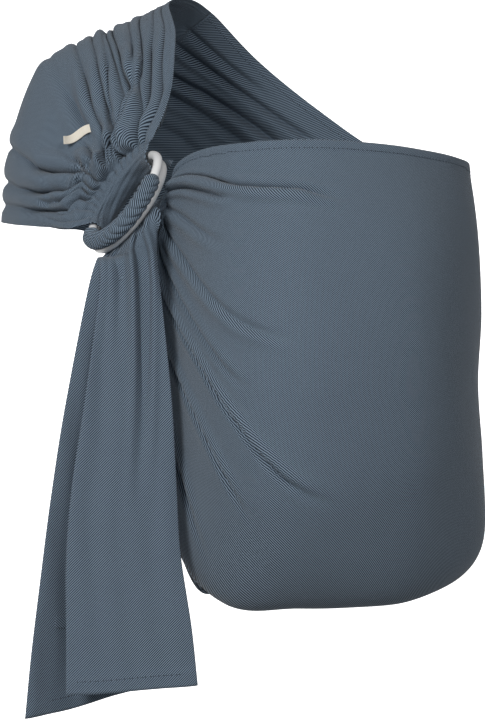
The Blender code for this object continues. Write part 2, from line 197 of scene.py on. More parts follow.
def slip_between(degrees):
    """How far outward of the outer ring's bar the inner ring's bar lies, in mm."""
    return float((INNER["centre"] - OUTER["centre"]) @ spoke_at(OUTER, math.radians(degrees))) / MM


# ---- cloth stations
# Columns follow the cloth: round the shoulder bars of the rings (0 to 7), over
# the shoulder (7 to 12), down the back (12 to 18), across the front (18 to 25)
# and up behind the rings' opening (25 to 28). Each runs from the neck-side
# rail to the arm-side rail.

BAR_ANGLES = (352, 328, 304, 280, 257, 234, 212)
NECK_ANGLES = (50, 63, 76, 90, 107, 124, 141)
# Where the columns pass behind the opening, as shares of the ring's radius along it
NECK_PLACES = (0.6, 0.45, 0.25, 0.0, -0.25, -0.5, -0.72)
NECK_DROPS = (0.35, -0.2, -0.75)
NECK_INSET = 0.0148
NECK_BEHIND = 11.4
WRAP_RADIUS = 6.6

SHOULDER = (
    ((47, -112, -48), (28, -104, -58), (10, -98, -66), (-12, -92, -80),
     (-32, -90, -100), (-46, -94, -130), (-52, -98, -162)),
    ((50, -70, 0), (27, -60, -6), (2, -60, -14), (-24, -60, -28),
     (-53, -58, -54), (-75, -57, -104), (-82, -55, -159)),
    ((44, -5, 30), (22, 0, 21), (-4, 0, 8), (-33, 0, -2),
     (-68, 0, -25), (-91, 0, -86), (-98, 0, -155)),
    ((60, 25, 36), (38, 42, 22), (12, 50, 3), (-14, 55, -22),
     (-44, 58, -54), (-70, 57, -104), (-87, 52, -154)),
    ((79, 60, 27), (55, 75, 10), (30, 85, -15), (5, 92, -45),
     (-20, 95, -80), (-40, 95, -118), (-55, 90, -158)),
)
BACK = (
    ((120, 103, -12), (98, 108, -30), (76, 111, -52), (54, 112, -78),
     (32, 112, -108), (8, 108, -140), (-18, 100, -168)),
    ((170, 112, -52), (152, 115, -82), (134, 117, -114), (115, 118, -147),
     (95, 118, -181), (72, 117, -215), (45, 112, -245)),
    ((225, 110, -90), (212, 115, -130), (198, 118, -172), (184, 119, -215),
     (168, 119, -257), (150, 118, -298), (130, 113, -338)),
    ((270, 85, -106), (266, 92, -156), (261, 97, -208), (255, 99, -260),
     (248, 100, -312), (240, 99, -362), (230, 92, -408)),
    ((290, 25, -112), (294, 30, -165), (296, 33, -222), (296, 35, -280),
     (295, 36, -338), (290, 33, -390), (278, 24, -428)),
    ((294, -50, -112), (301, -52, -170), (303, -54, -228), (302, -55, -285),
     (305, -56, -345), (304, -55, -396), (286, -50, -427)),
)
FRONT = (
    ((286, -140, -108), (294, -155, -170), (295, -165, -232), (292, -170, -295),
     (295, -165, -358), (297, -142, -432), (276, -103, -456)),
    ((240, -205, -101), (246, -235, -165), (246, -250, -230), (247, -253, -300),
     (246, -240, -378), (238, -196, -463), (230, -115, -462)),
    ((165, -238, -96), (158, -268, -165), (154, -283, -240), (152, -284, -315),
     (152, -266, -398), (152, -205, -469), (152, -110, -463)),
    ((105, -222, -98), (96, -240, -165), (92, -250, -235), (90, -248, -305),
     (90, -230, -378), (89, -186, -464), (97, -112, -462)),
    ((70, -188, -103), (56, -176, -140), (47, -162, -185), (42, -152, -232),
     (41, -146, -295), (44, -147, -394), (61, -118, -446)),
    ((52, -165, -114), (45, -158, -135), (39, -154, -158), (33, -150, -182),
     (28, -145, -208), (24, -138, -240), (20, -128, -275)),
)


def loop_column(step):
    """One column of the wrap round both shoulder bars, at every bar angle.

    Steps 0 to 3 pass behind both bars, 4 and 5 turn round the outer bar at
    radius WRAP_RADIUS, and 6 and 7 leave it straight for the shoulder.
    """
    column = []
    for angle, leave in zip(BAR_ANGLES, SHOULDER[0]):
        spoke = spoke_at(OUTER, math.radians(angle))
        away = np.array(leave) * MM - by_bar(OUTER, angle)
        away = unit(np.array([away @ spoke, away @ OUTER["normal"]]))
        contact = math.atan2(-away[0], away[1]) % (2 * math.pi)
        half_way = math.pi + 0.4 * (contact - math.pi)
        touch = WRAP_RADIUS * np.array([math.cos(contact), math.sin(contact)])
        slip = slip_between(angle)
        route = ((slip + 8.0, 15.5), (slip - 2.0, 15.8), (min(slip - 6.5, -3.5), 11.0),
                 (min(slip - 6.8, -6.0), 4.0),
                 (WRAP_RADIUS * math.cos(half_way), WRAP_RADIUS * math.sin(half_way)),
                 tuple(touch), tuple(touch + 7.0 * away), tuple(touch + 17.0 * away))
        column.append(by_bar(OUTER, angle, *route[step]))
    return column


def neck_column(drop):
    """One column behind the rings' opening; drop is its share towards the front bar."""
    reach = INNER["radius"] - NECK_INSET
    return [INNER["centre"] + side * reach * INNER["along"] + drop * reach * INNER["across"]
            + NECK_BEHIND * MM * INNER["normal"]
            for side in NECK_PLACES]


def cloth_stations():
    """All columns of the cloth in order, in metres."""
    columns = [loop_column(step) for step in range(8)]
    columns += [(np.array(column) * MM).tolist() for column in SHOULDER + BACK + FRONT]
    columns.append([by_bar(INNER, angle, -8.0, NECK_BEHIND + 1.0) for angle in NECK_ANGLES])
    columns += [neck_column(drop) for drop in NECK_DROPS]
    return np.array(columns, dtype=float)


# ---- folds
# A fold is (depth_mm, width_mm, lean, path); its path is a list of
# (column, share across), and depth is its greatest, eased to 0 at its ends.

SHOULDER_FOLDS = (
    (6.3, 3.2, 0.5, ((6.2, 0.47), (7.2, 0.48), (7.65, 0.48), (8.27, 0.52), (8.6, 0.527),
      (11.6, 0.5))),
    (5.7, 3.0, 0.5, ((6.2, 0.43), (7.2, 0.44), (7.55, 0.42), (8, 0.45), (8.5, 0.457),
      (11.6, 0.41))),
    (6.3, 3.0, 0.4, ((6.2, 0.4), (7.2, 0.41), (7.63, 0.4), (8.2, 0.42), (8.77, 0.407),
      (11.6, 0.35))),
    (9.4, 3.6, 0.4, ((6.2, 0.35), (7.3, 0.36), (8.05, 0.335), (8.4, 0.363),
      (9.1, 0.373), (11.6, 0.36))),
    (10.1, 4.0, -0.4, ((6.2, 0.3), (7.3, 0.32), (8.25, 0.28), (8.6, 0.303), (9.1, 0.33),
      (11.6, 0.33))),
    (6.9, 3.4, 0.5, ((6.2, 0.19), (7.3, 0.19), (7.8, 0.2), (8.3, 0.23), (8.67, 0.217),
      (11.6, 0.15))),
    (4, 2.8, 0.4, ((6.2, 0.11), (7.2, 0.1), (7.7, 0.07), (8.6, 0.09), (9.4, 0.06), (11.6, 0.05))),
    (4.3, 2.6, 0.3, ((6.2, 0.26), (7.3, 0.26), (8, 0.25), (8.6, 0.26), (9.6, 0.25), (11.6, 0.23))),
    (3.7, 2.6, 0.3, ((6.2, 0.15), (7.3, 0.15), (8, 0.15), (8.8, 0.155), (9.7, 0.11), (11.6, 0.1))),
    (5.8, 3.4, -0.5, ((6.2, 0.57), (7.15, 0.58), (7.9, 0.74), (8.65, 0.827), (11.6, 0.86))),
    (5.8, 3.4, -0.5, ((6.2, 0.63), (7.2, 0.65), (7.6, 0.78), (7.93, 0.827),
      (8.5, 0.887), (9.15, 0.913), (11.6, 0.92))),
    (4.3, 3.0, -0.4, ((6.2, 0.72), (7, 0.75), (7.43, 0.88), (8.6, 0.95), (11.6, 0.975))),
    (3.7, 2.6, -0.3, ((6.2, 0.68), (7.1, 0.7), (7.6, 0.84), (8.2, 0.9), (9, 0.94))),
    (3.2, 2.6, 0.2, ((6.2, 0.52), (7.2, 0.53), (7.6, 0.57), (8, 0.61), (8.4, 0.64))),
    (3.2, 2.6, -0.2, ((6.2, 0.55), (7.2, 0.55), (7.6, 0.63), (8, 0.7), (8.5, 0.74))),
    (2.8, 5.0, 0.0, ((7.4, 0.5), (8.2, 0.57), (9, 0.61), (11.6, 0.62))),
)
BACK_FOLDS = (
    (-6.8, 4.0, 0.0, ((11.6, 0.36), (12.4, 0.33), (12.8, 0.303), (13.7, 0.227), (14.8, 0.2))),
    (-4.6, 3.4, 0.0, ((11.8, 0.22), (12.5, 0.207), (14.1, 0.12), (14.9, 0.1))),
    (-4.1, 4.0, 0.0, ((12, 0.42), (13, 0.373), (13.6, 0.32), (14.4, 0.29))),
    (-3.5, 3.6, 0.0, ((11.8, 0.14), (12.6, 0.13), (13.6, 0.09))),
    (-3.8, 5.0, 0.0, ((12, 0.55), (13.2, 0.5), (14.8, 0.45))),
    (-3.2, 5.0, 0.0, ((12, 0.7), (13.4, 0.66), (15, 0.62))),
)
FRONT_FOLDS = (
    (7, 3.4, 0.5, ((20.7, 0.115), (21.1, 0.1), (22, 0.087), (22.8, 0.09),
      (24.4, 0.143), (25.2, 0.18))),
    (5.3, 3.0, 0.3, ((21.9, 0.105), (22.2, 0.113), (22.7, 0.127), (23.45, 0.16),
      (24.4, 0.21), (25.2, 0.25))),
    (5.6, 3.4, -0.25, ((20.7, 0.65), (21, 0.62), (21.3, 0.587), (21.8, 0.523), (22.2, 0.487),
      (22.45, 0.47), (23.03, 0.46), (24.6, 0.45))),
    (3.5, 4.0, 0.3, ((21.1, 0.37), (21.5, 0.35), (22.3, 0.317), (23.3, 0.3), (24.8, 0.3))),
    (3.1, 4.0, -0.3, ((21.6, 0.46), (22.2, 0.42), (23, 0.39), (24, 0.37), (25, 0.38))),
    (3.1, 4.0, 0.3, ((22, 0.2), (23, 0.22), (24, 0.25), (25, 0.28))),
    (4.2, 4.0, -0.3, ((21.6, 0.68), (22.3, 0.6), (23.2, 0.56), (24.6, 0.53))),
    (3.5, 4.0, -0.3, ((22.2, 0.78), (22.9, 0.7), (23.7, 0.64), (24.8, 0.61))),
)


def fold_field(columns, shares, widths, folds):
    """Heights and side moves of all folds.

    Across a fold, at x = distance / width, the height is
    -depth * exp(-(x / 0.9)^2), with a ridge 0.8 * depth * exp(-((x - 2) / 1.3)^2)
    on the side it leans from and a lower one on the other. Points beside it lean
    over the valley by lean * depth * exp(-(x - 1)^2). On the shoulder the valley
    is a third deeper and narrower, and over its crest the folds open out to two
    fifths of their depth.
    """
    height = np.zeros((len(columns), len(shares)))
    move = np.zeros_like(height)
    sharp = 1 - smooth_step(columns, 11.0, 12.5)[:, None]
    for depth, width, lean, path in folds:
        path = np.array(path)
        start, end = path[0, 0], path[-1, 0]
        place = np.interp(columns, path[:, 0], np.arange(len(path)))
        line = rows_through(path[:, 1], place)
        ease = bump_between(columns, start + 0.35, end - 0.5 * (end - start) * 0.6, 0.35)
        tail = 1 - smooth_step(columns, end - 0.6 * (end - start), end)
        strength = smooth_step(columns, start - 0.1, start + 0.5) * np.maximum(ease, tail)
        strength *= 1 - 0.62 * bump_between(columns, 9.1, 11.5, 0.8)
        strength = (strength * (1 + 0.6 * bump_between(columns, 7.2, 8.7, 0.6)))[:, None]
        x = (shares[None, :] - line[:, None]) * widths[:, None] / (width * MM)
        side = math.copysign(1.0, lean)
        ridge = (0.8 * np.exp(-((side * x - 2.0) / 1.3) ** 2)
                 + 0.2 * np.exp(-((side * x + 2.0) / 1.0) ** 2))
        valley = (1 + 0.35 * sharp) * np.exp(-(x / (0.9 - 0.28 * sharp)) ** 2)
        height += depth * MM * strength * (ridge - valley)
        move -= side * abs(lean * depth) * MM * strength * np.exp(-(side * x - 1.0) ** 2)
    return height, move


# Shares across at the rings, and where the same threads lie once they have fanned out
FAN_IN = (0.0, 0.11, 0.19, 0.30, 0.35, 0.40, 0.47, 0.52, 0.57, 0.63, 0.72, 1.0)
FAN_OUT = (0.0, 0.07, 0.20, 0.28, 0.335, 0.40, 0.48, 0.60, 0.74, 0.83, 0.88, 1.0)


def ring_pleats(columns, shares):
    """Fine pleats where the cloth gathers: |sin|^0.7 crests, deepest at the rings."""
    fan = smooth_step(columns, 7.0, 7.9)[:, None]
    source = np.interp(shares, FAN_OUT, FAN_IN)[None, :]
    shape = (1 - fan) * shares[None, :] + fan * source
    shape = shape + 0.014 * np.sin(1.3 * columns[:, None] + 15.0 * shares[None, :])
    shoulder = bump_between(columns, 5.8, 7.8, 1.0)[:, None]
    crest = np.abs(np.sin(math.pi * shape * 13.0)) ** 0.7 - 0.6
    front = bump_between(columns, 24.6, 26.0, 0.9)[:, None]
    other = np.abs(np.sin(math.pi * shape * 9.0)) ** 0.8 - 0.55
    return 2.8 * MM * shoulder * crest + 1.5 * MM * front * other


def slack(columns, shares):
    """Slight unevenness of worn cloth, as a few crossing waves under 0.6 mm."""
    c = columns[:, None]
    v = shares[None, :]
    waves = (np.sin(5.3 * c + 11.0 * v) + np.sin(3.1 * c - 17.0 * v + 1.0)
             + 0.7 * np.sin(8.7 * c + 23.0 * v + 2.0))
    return 0.22 * MM * waves


HEM_MM = 7.5


def hem_height(widths, shares):
    """The folded rails: 0.7 mm proud over the hem, with a groove at the stitches."""
    near = np.minimum(shares, 1 - shares)[None, :] * widths[:, None] / MM
    band = 0.7 * MM * (1 - smooth_step(near, HEM_MM + 0.2, HEM_MM + 1.8))
    groove = 0.8 * MM * np.exp(-((near - HEM_MM + 0.6) / 0.9) ** 2)
    return band - groove


ACROSS_STEPS = 180
SHOULDER_END = 12.0
BACK_END = 18.0
NECK_END = 28.0
# Each piece's first and last column, and its steps between them
PIECES = {
    "shoulder_cloth": (0.0, SHOULDER_END, 260),
    "back_cloth": (SHOULDER_END, BACK_END, 120),
    "pouch_cloth": (BACK_END, NECK_END, 262),
}


def across_shares():
    """Shares across the cloth, closer together at both rails."""
    t = np.linspace(0.0, 1.0, ACROSS_STEPS + 1)
    return 0.7 * t + 0.3 * (1 - np.cos(math.pi * t)) / 2


def along_columns(low, high, steps):
    """Columns of a piece; the pouch has more of them towards the rings."""
    t = np.linspace(0.0, 1.0, steps + 1)
    if high > BACK_END:
        t = 1 - (1 - t) ** 1.25
    return low + (high - low) * t


def long_cloth():
    """The whole cloth but its tail, with its folds, as one grid in one metric."""
    parts = [along_columns(*PIECES[name]) for name in PIECES]
    columns = np.concatenate([parts[0], parts[1][1:], parts[2][1:]])
    shares = across_shares()
    base = surface(cloth_stations(), columns, shares * (len(BAR_ANGLES) - 1))
    widths = arc_lengths(base, 1)[:, -1]
    normal, side = grid_frame(base)
    height, move = fold_field(columns, shares, widths,
                              SHOULDER_FOLDS + BACK_FOLDS + FRONT_FOLDS)
    height += ring_pleats(columns, shares) + slack(columns, shares) + hem_height(widths, shares)
    edge = smooth_step(np.minimum(shares, 1 - shares), 0.0, 0.03)[None, :]
    grid = base + normal * height[..., None] + side * (move * edge)[..., None]
    return columns, grid, base


_cloth = []


def cloth_part(name):
    """The grid and its running lengths of one named piece of the long cloth."""
    if not _cloth:
        columns, grid, base = long_cloth()
        _cloth.extend((columns, grid, *thread_lengths(base, grid, columns)))
    columns, grid, run, side = _cloth
    low, high, _ = PIECES[name]
    keep = (columns >= low - 1e-9) & (columns <= high + 1e-9)
    return grid[keep], run[keep], side[keep]


# ---- meshes

def mesh_object(name, points, faces, finish, uv=None):
    """A mesh object from arrays, with an optional UV per corner, at the origin."""
    mesh = bpy.data.meshes.new(name)
    mesh.vertices.add(len(points))
    mesh.vertices.foreach_set("co", np.ascontiguousarray(points, dtype=np.float32).ravel())
    size = faces.shape[1]
    mesh.loops.add(faces.size)
    mesh.loops.foreach_set("vertex_index", faces.ravel().astype(np.int32))
    mesh.polygons.add(len(faces))
    mesh.polygons.foreach_set("loop_start", np.arange(0, faces.size, size, dtype=np.int32))
    mesh.update(calc_edges=True)
    if uv is not None:
        layer = mesh.uv_layers.new(name="thread_run")
        layer.data.foreach_set("uv", uv.reshape(-1, 2)[faces.ravel()].astype(np.float32).ravel())
    mesh.polygons.foreach_set("use_smooth", np.ones(len(faces), dtype=bool))
    mesh.materials.append(finish)
    mesh.validate()
    new = bpy.data.objects.new(name, mesh)
    bpy.context.scene.collection.objects.link(new)
    return new


def grid_faces(rows, columns, wrap_rows=False, wrap_columns=False):
    """Quads of a grid whose vertex (i, j) is i * columns + j."""
    i = np.arange(rows if wrap_rows else rows - 1)
    j = np.arange(columns if wrap_columns else columns - 1)
    i, j = np.meshgrid(i, j, indexing="ij")
    ni = (i + 1) % rows
    nj = (j + 1) % columns
    return np.stack([i * columns + j, ni * columns + j, ni * columns + nj, i * columns + nj],
                    axis=-1).reshape(-1, 4)


def sheet_object(name, grid, uv, finish, thickness):
    """A sheet of cloth from a grid, given its thickness by Solidify."""
    faces = grid_faces(*grid.shape[:2])
    new = mesh_object(name, grid.reshape(-1, 3), faces, finish, uv)
    wall = new.modifiers.new("cloth thickness", "SOLIDIFY")
    wall.thickness = thickness
    wall.offset = 0.0
    wall.use_even_offset = False
    return new


def tube_object(name, centre_line, outward, side, radii, finish, uv=None, closed=False):
    """Sections of given radii carried along a path: p + r (cos a * outward + sin a * side)."""
    turns = radii.shape[1]
    angle = np.linspace(0, 2 * math.pi, turns, endpoint=False)
    ring = (np.cos(angle)[None, :, None] * outward[:, None, :]
            + np.sin(angle)[None, :, None] * side[:, None, :])
    grid = centre_line[:, None, :] + radii[..., None] * ring
    rows = len(centre_line)
    points = grid.reshape(-1, 3)
    faces = grid_faces(rows, turns, wrap_rows=closed, wrap_columns=True)
    if closed:
        return mesh_object(name, points, faces, finish)
    first = np.arange(turns)
    caps = []
    for base, hub in ((0, rows * turns), ((rows - 1) * turns, rows * turns + 1)):
        ring_ids = base + first
        after = base + (first + 1) % turns
        hubs = np.full(turns, hub)
        order = (ring_ids, after, hubs) if base == 0 else (after, ring_ids, hubs)
        caps.append(np.stack(order, axis=-1))
    points = np.vstack([points, grid[0].mean(axis=0), grid[-1].mean(axis=0)])
    triangles = np.vstack([faces[:, [0, 1, 2]], faces[:, [0, 2, 3]], *caps])
    uv_all = None
    if uv is not None:
        uv_all = np.vstack([uv.reshape(-1, 2), uv[0].mean(axis=0), uv[-1].mean(axis=0)])
    return mesh_object(name, points, triangles, finish, uv_all)


# ---- materials

def feed(tree, target, inputs):
    """Link each named input of a node to a socket, or set it to a value."""
    for key, value in inputs.items():
        if isinstance(value, bpy.types.NodeSocket):
            tree.links.new(value, target.inputs[key])
        else:
            target.inputs[key].default_value = value


def node(tree, kind, inputs=None, **settings):
    """Add a shader node with its settings and inputs."""
    new = tree.nodes.new("ShaderNode" + kind)
    for key, value in settings.items():
        setattr(new, key, value)
    feed(tree, new, inputs or {})
    return new


def fresh_material(name, threads=False):
    """A new material, its node tree, its shader, and its thread or object coordinates."""
    new = bpy.data.materials.new(name)
    new.use_nodes = True
    tree = new.node_tree
    place = (node(tree, "UVMap", uv_map="thread_run").outputs[0] if threads
             else node(tree, "TexCoord").outputs["Object"])
    return new, tree, tree.nodes["Principled BSDF"], place


def waves(tree, value, turns):
    """0 to 1 sine wave: 0.5 + 0.5 sin(2 pi * turns * value)."""
    scaled = node(tree, "Math", {0: value, 1: 2 * math.pi * turns}, operation="MULTIPLY")
    wave = node(tree, "Math", {0: scaled.outputs[0]}, operation="SINE")
    half = node(tree, "Math", {0: wave.outputs[0], 1: 0.5, 2: 0.5}, operation="MULTIPLY_ADD")
    return half.outputs[0]


def twill_material(sizes):
    """Cotton twill, two-tone yarn: dark warp and paler weft show as diagonal ribs."""
    new, tree, shader, place = fresh_material("cotton_twill_woven", threads=True)
    parts = node(tree, "SeparateXYZ", {0: place})
    wander = node(tree, "TexNoise", {"Vector": place, "Scale": 45.0, "Detail": 2.0})
    run = node(tree, "Math", {0: wander.outputs[0], 1: 0.0008, 2: parts.outputs[0]},
               operation="MULTIPLY_ADD")
    diagonal = node(tree, "Math", {0: parts.outputs[1], 1: run.outputs[0]})
    ribs = waves(tree, diagonal.outputs[0], 1.0 / (sizes.twill_pitch * math.sqrt(2)))
    yarn_a = waves(tree, parts.outputs[0], 1.0 / sizes.yarn_pitch)
    yarn_b = waves(tree, parts.outputs[1], 1.0 / sizes.yarn_pitch)
    yarns = node(tree, "Math", {0: yarn_a, 1: yarn_b}, operation="MULTIPLY")
    fleck = node(tree, "TexNoise", {"Vector": place, "Scale": 620.0, "Detail": 3.0,
                                    "Roughness": 0.6})
    cloud = node(tree, "TexNoise", {"Vector": place, "Scale": 60.0, "Detail": 3.0})
    tone = node(tree, "Math", {0: ribs, 1: 2.2, 2: -0.85}, operation="MULTIPLY_ADD")
    tone = node(tree, "Math", {0: fleck.outputs[0], 1: 0.35, 2: tone.outputs[0]},
                operation="MULTIPLY_ADD")
    tone = node(tree, "Math", {0: cloud.outputs[0], 1: 0.15, 2: tone.outputs[0]},
                operation="MULTIPLY_ADD", use_clamp=True)
    ramp = node(tree, "Mix", {0: tone.outputs[0], 6: (*sizes.warp_colour, 1.0),
                              7: (*sizes.weft_colour, 1.0)}, data_type="RGBA")
    relief = node(tree, "Math", {0: yarns.outputs[0], 1: 0.35, 2: ribs}, operation="MULTIPLY_ADD")
    bump = node(tree, "Bump", {"Height": relief.outputs[0], "Strength": 0.55, "Distance": 0.00035})
    feed(tree, shader, {"Base Color": ramp.outputs[2], "Normal": bump.outputs[0],
                        "Roughness": 0.88, "Sheen Weight": 0.12, "Sheen Roughness": 0.5,
                        "Specular IOR Level": 0.3})
    return new


def ring_material(sizes):
    """Anodised aluminium, tumbled first: a pale satin with a fine even grain."""
    new, tree, shader, place = fresh_material("aluminium_anodised_tumbled")
    grain = node(tree, "TexNoise", {"Vector": place, "Scale": 2600.0, "Detail": 2.0})
    cloud = node(tree, "TexNoise", {"Vector": place, "Scale": 90.0})
    shine = node(tree, "Math", {0: cloud.outputs[0], 1: 0.12, 2: 0.30}, operation="MULTIPLY_ADD")
    tint = node(tree, "Mix", {0: cloud.outputs[0], 6: (*sizes.ring_colour, 1.0),
                              7: (*linear("fafafa"), 1.0)}, data_type="RGBA")
    bump = node(tree, "Bump", {"Height": grain.outputs[0], "Strength": 0.25, "Distance": 0.00006})
    feed(tree, shader, {"Base Color": tint.outputs[2], "Roughness": shine.outputs[0],
                        "Normal": bump.outputs[0], "Metallic": 0.2})
    return new


def thread_material(sizes):
    """Spun polyester sewing thread: two plies twisted, a little shinier than the cloth."""
    new, tree, shader, place = fresh_material("polyester_thread_twisted")
    ply = node(tree, "TexWave", {"Vector": place, "Scale": 420.0, "Distortion": 1.0},
               bands_direction="DIAGONAL")
    tint = node(tree, "Mix", {0: ply.outputs[1], 6: (*sizes.warp_colour, 1.0),
                              7: (*sizes.thread_colour, 1.0)}, data_type="RGBA")
    bump = node(tree, "Bump", {"Height": ply.outputs[1], "Strength": 0.4, "Distance": 0.0001})
    feed(tree, shader, {"Base Color": tint.outputs[2], "Normal": bump.outputs[0],
                        "Roughness": 0.6})
    return new


def ribbon_material(sizes):
    """Woven taffeta ribbon, undyed: fine cross ribs and a soft lustre."""
    new, tree, shader, place = fresh_material("taffeta_ribbon_woven", threads=True)
    parts = node(tree, "SeparateXYZ", {0: place})
    ribs = waves(tree, parts.outputs[0], 1.0 / 0.0007)
    weft = waves(tree, parts.outputs[1], 1.0 / 0.0009)
    weave = node(tree, "Math", {0: ribs, 1: weft}, operation="MULTIPLY")
    cloud = node(tree, "TexNoise", {"Vector": place, "Scale": 240.0})
    tone = node(tree, "Math", {0: cloud.outputs[0], 1: 0.6, 2: weave.outputs[0]},
                operation="MULTIPLY_ADD", use_clamp=True)
    tint = node(tree, "Mix", {0: tone.outputs[0], 6: (*linear("cfc6b4"), 1.0),
                              7: (*sizes.label_colour, 1.0)}, data_type="RGBA")
    bump = node(tree, "Bump", {"Height": weave.outputs[0], "Strength": 0.5, "Distance": 0.0001})
    feed(tree, shader, {"Base Color": tint.outputs[2], "Normal": bump.outputs[0],
                        "Roughness": 0.7})
    return new


def stage_material():
    """Opal acrylic cove lit from behind: plain and even, with hardly a mottle."""
    new, tree, shader, place = fresh_material("acrylic_cove_backlit")
    mottle = node(tree, "TexNoise", {"Vector": place, "Scale": 6.0})
    tint = node(tree, "Mix", {0: mottle.outputs[0], 6: (*linear("f4f4f4"), 1.0),
                              7: (*linear("f8f8f8"), 1.0)}, data_type="RGBA")
    feed(tree, shader, {"Base Color": tint.outputs[2], "Emission Color": (1.0, 1.0, 1.0, 1.0),
                        "Emission Strength": 0.9, "Roughness": 0.95})
    return new


_made = {}


def finish(name):
    """The named finish, made once."""
    makers = {"twill": twill_material, "ring": ring_material, "thread": thread_material,
              "ribbon": ribbon_material}
    if name not in _made:
        _made[name] = makers[name](bpy.context.scene.sling_sizes)
    return _made[name]


# ---- tail

TAIL_LAYERS = 6
# Height, left edges of the front and back layers, their right edges, front y and
# the layers' spacing, all in mm
TAIL_ROWS = (
    (-192.0, -10.0, -11.5, 35.5, 33.5, -189.0, 1.3),
    (-219.6, -10.5, -19.0, 38.5, 36.0, -193.0, 1.5),
    (-304.5, -22.0, -36.0, 47.0, 42.0, -194.0, 1.9),
    (-369.4, -32.0, -46.5, 50.5, 44.0, -194.0, 2.2),
    (-428.7, -37.0, -54.5, 54.0, 45.0, -193.5, 2.4),
    (-488.0, -37.0, -62.0, 63.5, 47.0, -193.0, 2.6),
    (-538.0, -37.0, -67.0, 69.0, 49.0, -192.5, 2.8),
)
# The head's place on the inner ring, in degrees, and its steps round the bar:
# outward of it, behind it, moved in y, and dropped towards the right, mm
HEAD_ANGLES = (168, 78)
HEAD_STEPS = ((-9.0, 5.2, 0.0, 0.0), (-2.0, 5.0, 0.0, 0.0), (4.0, 4.6, 0.0, -2.0),
              (6.0, 3.5, -3.0, -14.0))
LAYER_SHARES = (0.0, 0.3, 0.65, 1.0)
# How far back each share of a back layer lies at the hem, and how low it hangs, mm
BACK_DEPTHS = (16.0, 34.0, 18.0, 4.0)
BACK_DROPS = (-25.0, -18.5, -5.0, 4.0)
FRONT_DROPS = (-5.5, -4.0, -0.5, 2.5)
# Points across the tail that its second layer holds, and those that are stitched
BACK_LAYER = slice(46, 82)
FRONT_STITCHES = slice(2, 31)
BACK_STITCHES = slice(46, 74)


def tail_stations():
    """Rows from the rings to the hem; each zigzags through every layer of the tail."""
    rows = []
    for outward, behind, forward, drop in HEAD_STEPS:
        row = []
        for layer in range(TAIL_LAYERS):
            turn = 1 if layer % 2 == 0 else -1
            for share in LAYER_SHARES[::turn]:
                angle = HEAD_ANGLES[0] + (HEAD_ANGLES[1] - HEAD_ANGLES[0]) * share
                point = by_bar(INNER, angle, outward, behind + 0.85 * layer)
                row.append(point + np.array([0.0, forward, drop * share]) * MM)
        rows.append(row)
    for z, left, back_left, right, back_right, y, pitch in TAIL_ROWS:
        row = []
        deep = (TAIL_ROWS[0][0] - z) / (TAIL_ROWS[0][0] - TAIL_ROWS[-1][0])
        for layer in range(TAIL_LAYERS):
            turn = 1 if layer % 2 == 0 else -1
            low = back_left + 1.2 * (layer - 1) if layer else left
            high = back_right - 2.0 * (layer - 1) if layer else right
            depths = BACK_DEPTHS if layer else (0.0,) * 4
            drops = BACK_DROPS if layer else FRONT_DROPS
            for place in range(len(LAYER_SHARES))[::turn]:
                x = low + (high - low) * LAYER_SHARES[place]
                row.append(np.array([x, y + layer * pitch + deep * depths[place],
                                     z + deep * drops[place]]) * MM)
        rows.append(row)
    return np.array(rows)


# Each fold's depth and width in mm, and its path of (row, share of the front layer)
TAIL_FOLDS = (
    (16.0, 4.4, ((1.2, 0.74), (3.0, 0.75), (4.0, 0.75), (5.0, 0.74), (6.0, 0.69), (7.8, 0.64))),
    (5.0, 4.6, ((1.2, 0.38), (3.0, 0.38), (4.2, 0.38), (5.6, 0.40), (6.8, 0.42))),
    (3.6, 3.4, ((1.2, 0.16), (3.0, 0.18), (4.2, 0.22), (5.4, 0.26))),
    (2.2, 6.0, ((3.2, 0.90), (5.4, 0.86), (7.0, 0.80), (9.4, 0.78))),
    (2.0, 7.0, ((4.6, 0.18), (6.8, 0.22), (9.6, 0.28))),
)
TAIL_HEM_MM = 12.5


def tail_grid():
    """The tail's zigzag sheet with its soft vertical folds and its end hem."""
    stations = tail_stations()
    rows = np.linspace(0.0, len(stations) - 1, 190)
    count = stations.shape[1]
    across = np.linspace(0.0, count - 1, 253)
    base = surface(stations, rows, across)
    widths = arc_lengths(base, 1)
    first = np.searchsorted(across, len(LAYER_SHARES) - 1.0)
    front_width = widths[:, first]
    shares = widths / np.maximum(front_width[:, None], 1e-9)
    height = np.zeros(base.shape[:2])
    for depth, width, path in TAIL_FOLDS:
        path = np.array(path)
        place = np.interp(rows, path[:, 0], np.arange(len(path)))
        line = rows_through(path[:, 1], place)
        start, end = path[0, 0], path[-1, 0]
        strength = (smooth_step(rows, start, start + 0.8)
                    * (1 - smooth_step(rows, end - 0.6 * (end - start), end)))[:, None]
        x = (shares - line[:, None]) * front_width[:, None] / (width * MM)
        lips = 0.5 * np.exp(-((np.abs(x) - 1.9) / 0.8) ** 2)
        height += depth * MM * strength * (lips - np.exp(-x ** 2))
    gather = smooth_step(rows, 0.4, 1.4) * (1 - smooth_step(rows, 3.6, 6.2))
    crest = np.abs(np.sin(math.pi * (5.5 * shares + 0.2))) ** 0.7 - 0.6
    height += 2.6 * MM * gather[:, None] * crest
    up = (arc_lengths(base[::-1], 0)[::-1]) / MM
    hem = 0.8 * MM * (1 - smooth_step(up, TAIL_HEM_MM, TAIL_HEM_MM + 1.6))
    groove = 0.5 * MM * np.exp(-((up - TAIL_HEM_MM + 0.8) / 0.9) ** 2)
    lift = np.zeros_like(base)
    lift[..., 1] = -(height * (shares <= 1.05) + hem - groove)
    wave = 0.5 * MM * np.sin(26.0 * base[..., 0] / 0.1 + 3.0 * base[..., 2] / 0.1)
    lift[..., 1] += wave * smooth_step(rows, 3.0, 5.0)[:, None]
    return base + lift


# ---- stitches

